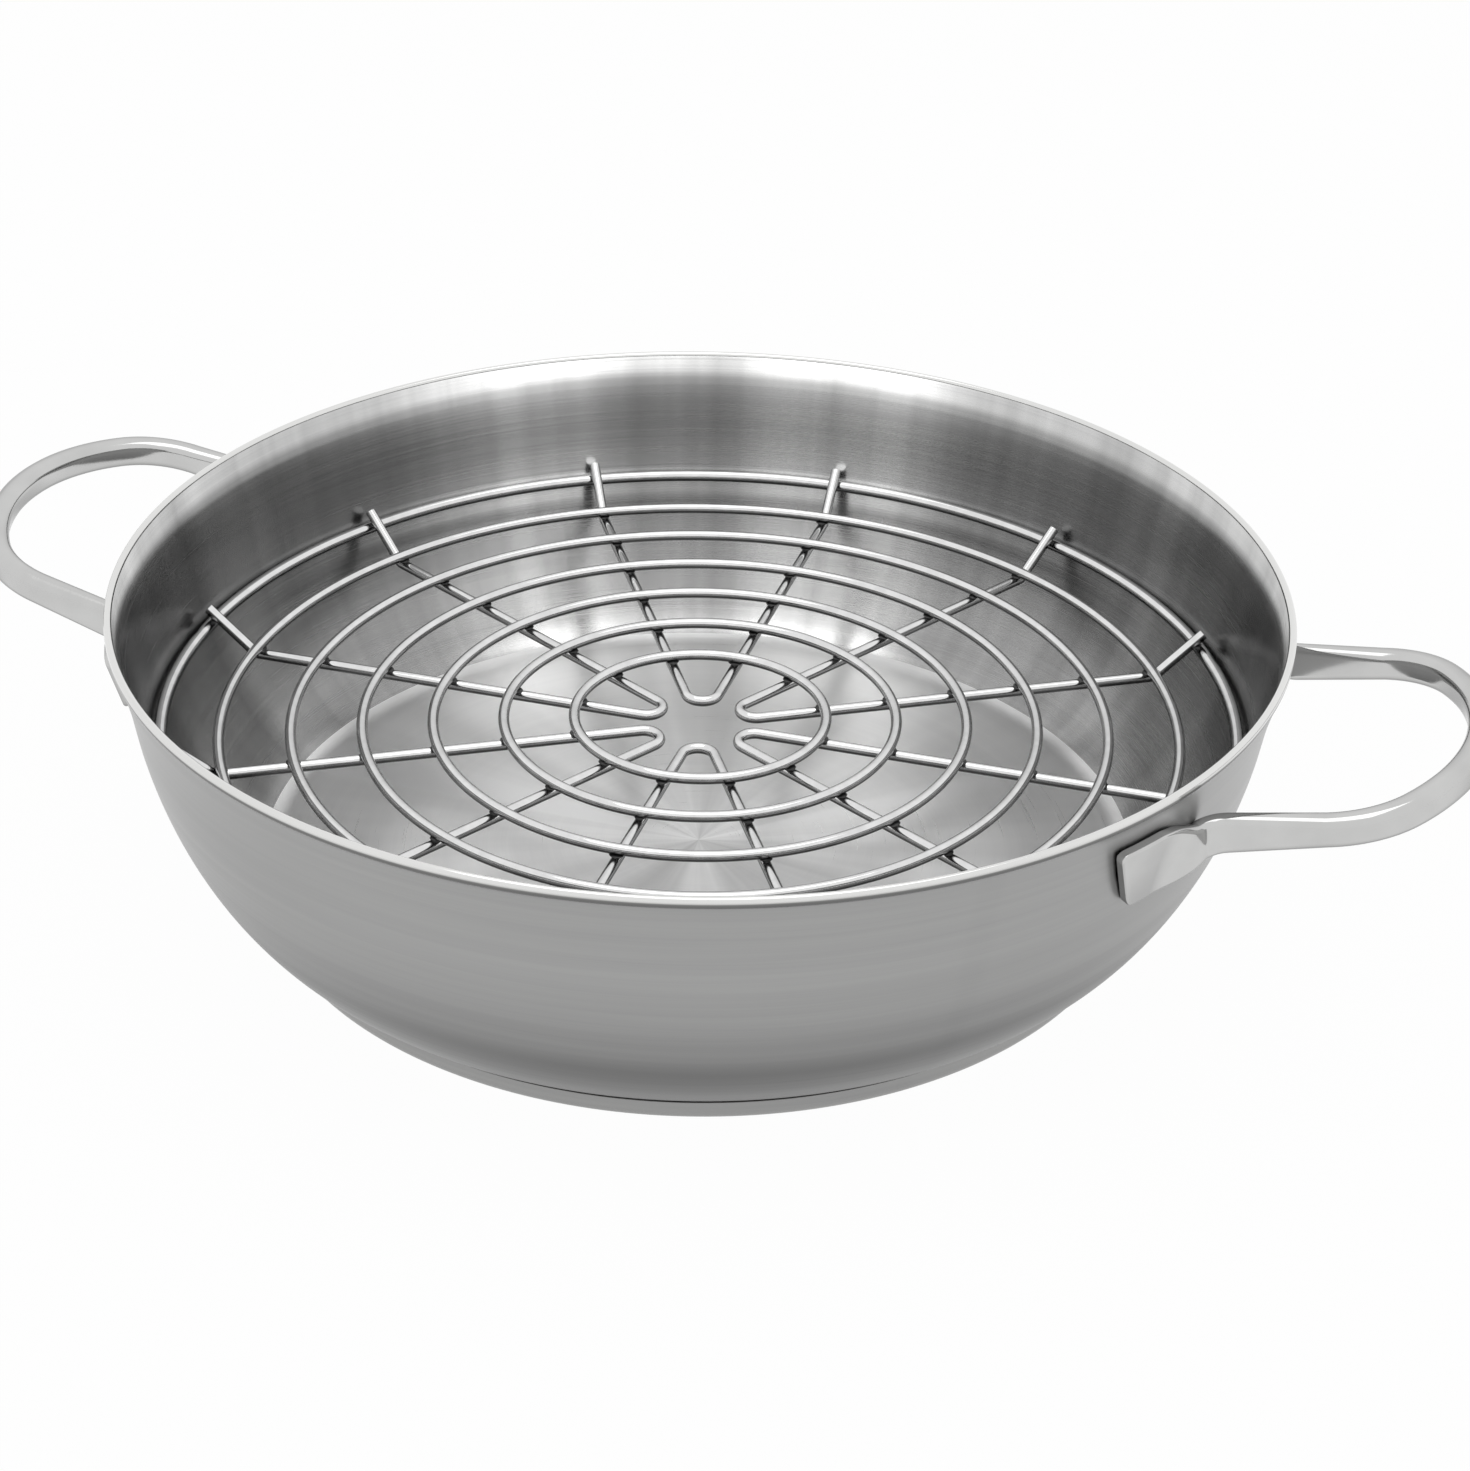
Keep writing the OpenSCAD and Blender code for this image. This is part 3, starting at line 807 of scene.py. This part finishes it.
def padRows(lean, wallR, padZ, last, planeUp):
    h = handle
    midR, padR = wallR + h["weldGap"] + h["armThick"] / 2, wallR + h["weldGap"] + h["padThick"] / 2
    lastR, lastAzimuth = math.hypot(last.x, last.y), math.atan2(last.y, last.x)
    rake = math.radians(h["padRake"])
    padEnd = h["padTaper"] + h["padLong"] - h["padCorner"] * (1 / math.cos(rake) - 1)
    rows = []
    for x in padSteps(padEnd):
        t = ease(x / h["padTaper"])
        azimuth = lastAzimuth + x / midR
        z = blend(last.z, padZ, t)
        wallAt = wallR + (z - padZ) * math.tan(lean)
        radius = blend(lastR, wallAt + (h["weldGap"] + h["padThick"] / 2) / math.cos(lean), t)
        place = Vector((radius * math.cos(azimuth), radius * math.sin(azimuth), z))
        slope = Vector((math.sin(lean) * math.cos(azimuth), math.sin(lean) * math.sin(azimuth), math.cos(lean)))
        widen = min(x / h["padTaper"], 1)
        widen = h["straightWiden"] * widen + h["easedWiden"] * ease(widen)
        tall = blend(h["armTall"], h["padTall"], widen) / 2
        into = x - (padEnd - h["padCorner"])
        if into > 0:
            tall -= h["padCorner"] - math.sqrt(max(h["padCorner"] ** 2 - into ** 2, 0))
        inset = max(0, 1 - (padEnd - x) / h["endBreak"]) ** 2 * h["endBreak"]
        raked = max(x - h["padTaper"], 0) / (padEnd - h["padTaper"]) * math.tan(rake) / padR
        rows.append((place, planeUp.lerp(slope, t).normalized(), blend(h["armThick"], h["padThick"], t) / 2 - inset,
                     tall - inset, blend(h["armEdge"], h["padEdge"], t), raked))
    return rows


def handleSections():
    wall = weldPlace()
    rows = barRows(*wall)
    rows += padRows(*wall, *rows[-1][:2])
    sections = []
    for i, (place, up, thick, tall, edge, rake) in enumerate(rows):
        ahead, behind = rows[min(i + 1, len(rows) - 1)][0], rows[max(i - 1, 0)][0]
        tangent = (ahead - behind).normalized() if i else Vector((0, 1, 0))
        up = (up - up.dot(tangent) * tangent).normalized()
        across = tangent.cross(up)
        sections.append([Matrix.Rotation(p.y * rake, 3, "Z") @ (place + p.x * across + p.y * up)
                         for p in roundedSection(thick, tall, edge)])
    return sections


def makeHandle(name, node, turn):
    half = handleSections()
    sections = [[Vector((p.x, -p.y, p.z)) for p in section] for section in half[:0:-1]] + half
    work = bmesh.new()
    rows = [[work.verts.new(turn @ (p * mm)) for p in section] for section in sections]
    count = len(rows[0])
    for a, b in zip(rows, rows[1:]):
        for k in range(count):
            work.faces.new((a[k], a[(k + 1) % count], b[(k + 1) % count], b[k]))
    work.faces.new(rows[0][::-1])
    work.faces.new(rows[-1])
    bmesh.ops.recalc_face_normals(work, faces=work.faces)
    for face in work.faces:
        face.smooth = len(face.verts) == 4
    mesh = bpy.data.meshes.new(name)
    work.to_mesh(mesh)
    work.free()
    piece = bpy.data.objects.new(name, mesh)
    scene.collection.objects.link(piece)
    mesh.materials.append(metals["handlePolish"])
    settle(faceOut(piece), "pan", "handle_steel", node)


makeHandle("handleRight", "handle_right", Matrix.Identity(3))
makeHandle("handleLeft", "handle_left", Matrix.Rotation(math.pi, 3, "Z"))
print("scene: handles bent")

# the rack's closed rings, each with the small swelling of its butt weld
rings = {
    "count": 6,
    "steps": 240,
    "sides": 18,
    "seamStart": 200.0,      # degrees round to the first ring's weld
    "seamTurn": 47.0,        # degrees from one ring's weld to the next
    "seamLong": 1.6,
    "seamSwell": 0.05,       # a share of the wire
}


# a ring's radius to the middle of its wire, its height and its wire's radius, in metres
def ringSize(node):
    low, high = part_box(node)
    wire = (high.z - low.z) / 2
    return high.x - wire, (low.z + high.z) / 2, wire


def makeRing(name, node, seam):
    radius, z, wire = ringSize(node)
    points, radii = [], []
    for i in range(rings["steps"]):
        angle = seam + 2 * math.pi * i / rings["steps"]
        points.append((radius * math.cos(angle), radius * math.sin(angle), z))
        off = min(i, rings["steps"] - i) * 2 * math.pi * radius / rings["steps"]
        radii.append(1 + rings["seamSwell"] * math.exp(-(off / (rings["seamLong"] * mm)) ** 2))
    source = lineObject(name, points, closed=True, radii=radii)
    piece = grow(source, wireTree, metals["ringChrome"], Sides=rings["sides"], WireRadius=wire)
    settle(faceOut(piece), "rack", "rack_wire", node)


ringNodes = [f"rack_ring_{i + 1}" for i in range(rings["count"])] + ["rack_outer_ring"]
for i, node in enumerate(ringNodes):
    name = f"rackRing{i + 1}" if node != "rack_outer_ring" else "rackOuterRing"
    makeRing(name, node, math.radians(rings["seamStart"] + rings["seamTurn"] * i))
print("scene: rings drawn")

# the hairpin wires that make the rack's legs
hairpin = {
    "count": 6,
    "firstTurn": 48.0,       # degrees round from the right handle
    "tip": 12.0,             # from the pan's axis to the hairpin's bend
    "pastRing": 1.4,         # how far past the last level ring the legs turn up
    "slope": 41.0,           # degrees
    "bend": 3.0,
    "tipSteps": 9,
    "bendSteps": 8,
    "endRows": (0.7, 0.25, 0.0),         # how far from its end the wire is ground down
    "endShares": (1.0, 0.94, 0.72),      # and how much of it is left there
    "sides": 18,
}


def hairpinLine():
    low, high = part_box("rack_hairpin_1")
    wire = ringSize("rack_ring_1")[2] / mm
    half, slope = math.pi / 2 / hairpin["count"], math.radians(hairpin["slope"])
    legZ, endZ = low.z / mm + wire, high.z / mm - wire * math.cos(slope)
    pinR = hairpin["tip"] * math.sin(half) / (1 - math.sin(half))
    upR = ringSize(f"rack_ring_{rings['count']}")[0] / mm + hairpin["pastRing"]
    end = Vector((upR + (endZ - legZ) / math.tan(slope), endZ))
    bend, short = hairpin["bend"], hairpin["bend"] * math.tan(slope / 2)
    middle = Vector((hairpin["tip"] + pinR, 0))
    tip = arc(middle, pinR, math.pi, math.pi / 2 + half, hairpin["tipSteps"])
    side = arc(Vector((upR - short, legZ + bend)), bend, -math.pi / 2, slope - math.pi / 2, hairpin["bendSteps"])
    side += [end - x * Vector((math.cos(slope), math.sin(slope))) for x in hairpin["endRows"]]
    way = Vector((math.cos(half), math.sin(half)))
    line = [Vector((p.x, p.y, legZ)) for p in tip] + [Vector((p.x * way.x, p.x * way.y, p.y)) for p in side]
    radii = [1.0] * (len(line) - len(hairpin["endShares"])) + list(hairpin["endShares"])
    mirrored = [Vector((p.x, -p.y, p.z)) for p in line[:0:-1]]
    return [p * mm for p in mirrored + line], radii[:0:-1] + radii, wire * mm


def makeHairpins():
    line, radii, wire = hairpinLine()
    for i in range(hairpin["count"]):
        turn = Matrix.Rotation(math.radians(hairpin["firstTurn"] + 360 / hairpin["count"] * i), 3, "Z")
        source = lineObject(f"rackHairpin{i + 1}", [turn @ p for p in line], radii=radii)
        piece = grow(source, wireTree, metals["ringChrome"], Sides=hairpin["sides"], WireRadius=wire)
        settle(faceOut(piece), "rack", "rack_wire", f"rack_hairpin_{i + 1}")


makeHairpins()
print("scene: hairpins bent")

# small dark flattened spots where the wires cross: under each level ring, and on the outer ring where the sloping
# legs lie on it
welds = {
    "wide": 3.3,
    "tall": 1.0,
    "seed": 4,
}


def makeWelds():
    spots = []
    half, slope = 90 / hairpin["count"], math.radians(hairpin["slope"])
    for k in range(2 * hairpin["count"]):
        angle = math.radians(hairpin["firstTurn"] + half * (2 * k + 1))
        for node in ringNodes:
            radius, z, wire = ringSize(node)
            if node == "rack_outer_ring":
                radius, z = radius - wire * math.sin(slope), z + wire * math.cos(slope)
            else:
                z -= wire
            spots.append((radius * math.cos(angle), radius * math.sin(angle), z))
    piece = grow(lineObject("rackWelds", spots, edges=False), weldTree, metals["darkCrossingSpot"],
                 Width=welds["wide"] * mm, Height=welds["tall"] * mm, Seed=welds["seed"])
    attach(piece, "rack")


makeWelds()
print("scene: welds set")

# a plain pale floor, and the soft light of a studio
studio = {
    "floorSize": 8.0,        # metres
    "floorDrop": 0.0002,     # keeps the floor clear of the base
    "floorTone": 0.86,
    "floorRough": 0.9,
    "floorLift": 0.975,      # how much of the white background the camera and gloss see in the floor
    "worldFill": 0.6,
    "topSize": 0.9,
    "topHeight": 1.2,
    "topGlow": 1.05,
}


def seesBackground(tree):
    path = put(tree, "ShaderNodeLightPath")
    seen = addMath(tree, "MAXIMUM", path.outputs["Is Camera Ray"], path.outputs["Is Glossy Ray"])
    return addMath(tree, "MAXIMUM", seen, path.outputs["Is Transmission Ray"])


def makeFloor():
    half = studio["floorSize"] / 2
    mesh = bpy.data.meshes.new("floor")
    mesh.from_pydata([(-half, -half, 0), (half, -half, 0), (half, half, 0), (-half, half, 0)], [], [(0, 1, 2, 3)])
    floor = bpy.data.objects.new("floor", mesh)
    scene.collection.objects.link(floor)
    floor.location.z = -studio["floorDrop"]
    material = bpy.data.materials.new("paleFloor")
    material.use_nodes = True
    tree = material.node_tree
    shader, output = tree.nodes["Principled BSDF"], tree.nodes["Material Output"]
    shader.inputs["Base Color"].default_value = (*[studio["floorTone"]] * 3, 1)
    shader.inputs["Roughness"].default_value = studio["floorRough"]
    shader.inputs["Specular IOR Level"].default_value = 0.0
    white = put(tree, "ShaderNodeEmission", {"Color": (1, 1, 1, 1), "Strength": 1.0})
    share = addMath(tree, "MULTIPLY", seesBackground(tree), studio["floorLift"])
    mix = put(tree, "ShaderNodeMixShader", {0: share, 1: shader.outputs[0], 2: white.outputs[0]})
    tree.links.new(mix.outputs[0], output.inputs[0])
    mesh.materials.append(material)


def makeWorld():
    world = bpy.data.worlds.new("studio")
    world.use_nodes = True
    tree = world.node_tree
    fill = tree.nodes["Background"]
    fill.inputs["Color"].default_value = (1, 1, 1, 1)
    fill.inputs["Strength"].default_value = studio["worldFill"]
    white = put(tree, "ShaderNodeBackground", {"Color": (1, 1, 1, 1), "Strength": 1.0})
    mix = put(tree, "ShaderNodeMixShader", {0: seesBackground(tree), 1: fill.outputs[0], 2: white.outputs[0]})
    tree.links.new(mix.outputs[0], tree.nodes["World Output"].inputs[0])
    scene.world = world


def makeLamp(name, place, aim, size, glow):
    data = bpy.data.lights.new(name, "AREA")
    data.shape, data.size, data.size_y = "RECTANGLE", size[0], size[1]
    data.energy = glow * math.pi * size[0] * size[1]
    lamp = bpy.data.objects.new(name, data)
    scene.collection.objects.link(lamp)
    lamp.location = place
    lamp.rotation_mode = "QUATERNION"
    lamp.rotation_quaternion = (Vector(aim) - Vector(place)).to_track_quat("-Z", "Y")
    lamp.visible_camera = False


makeFloor()
makeWorld()
makeLamp("topBox", (0, 0, studio["topHeight"]), (0, 0, 0), (studio["topSize"],) * 2, studio["topGlow"])
print("scene: studio lit")
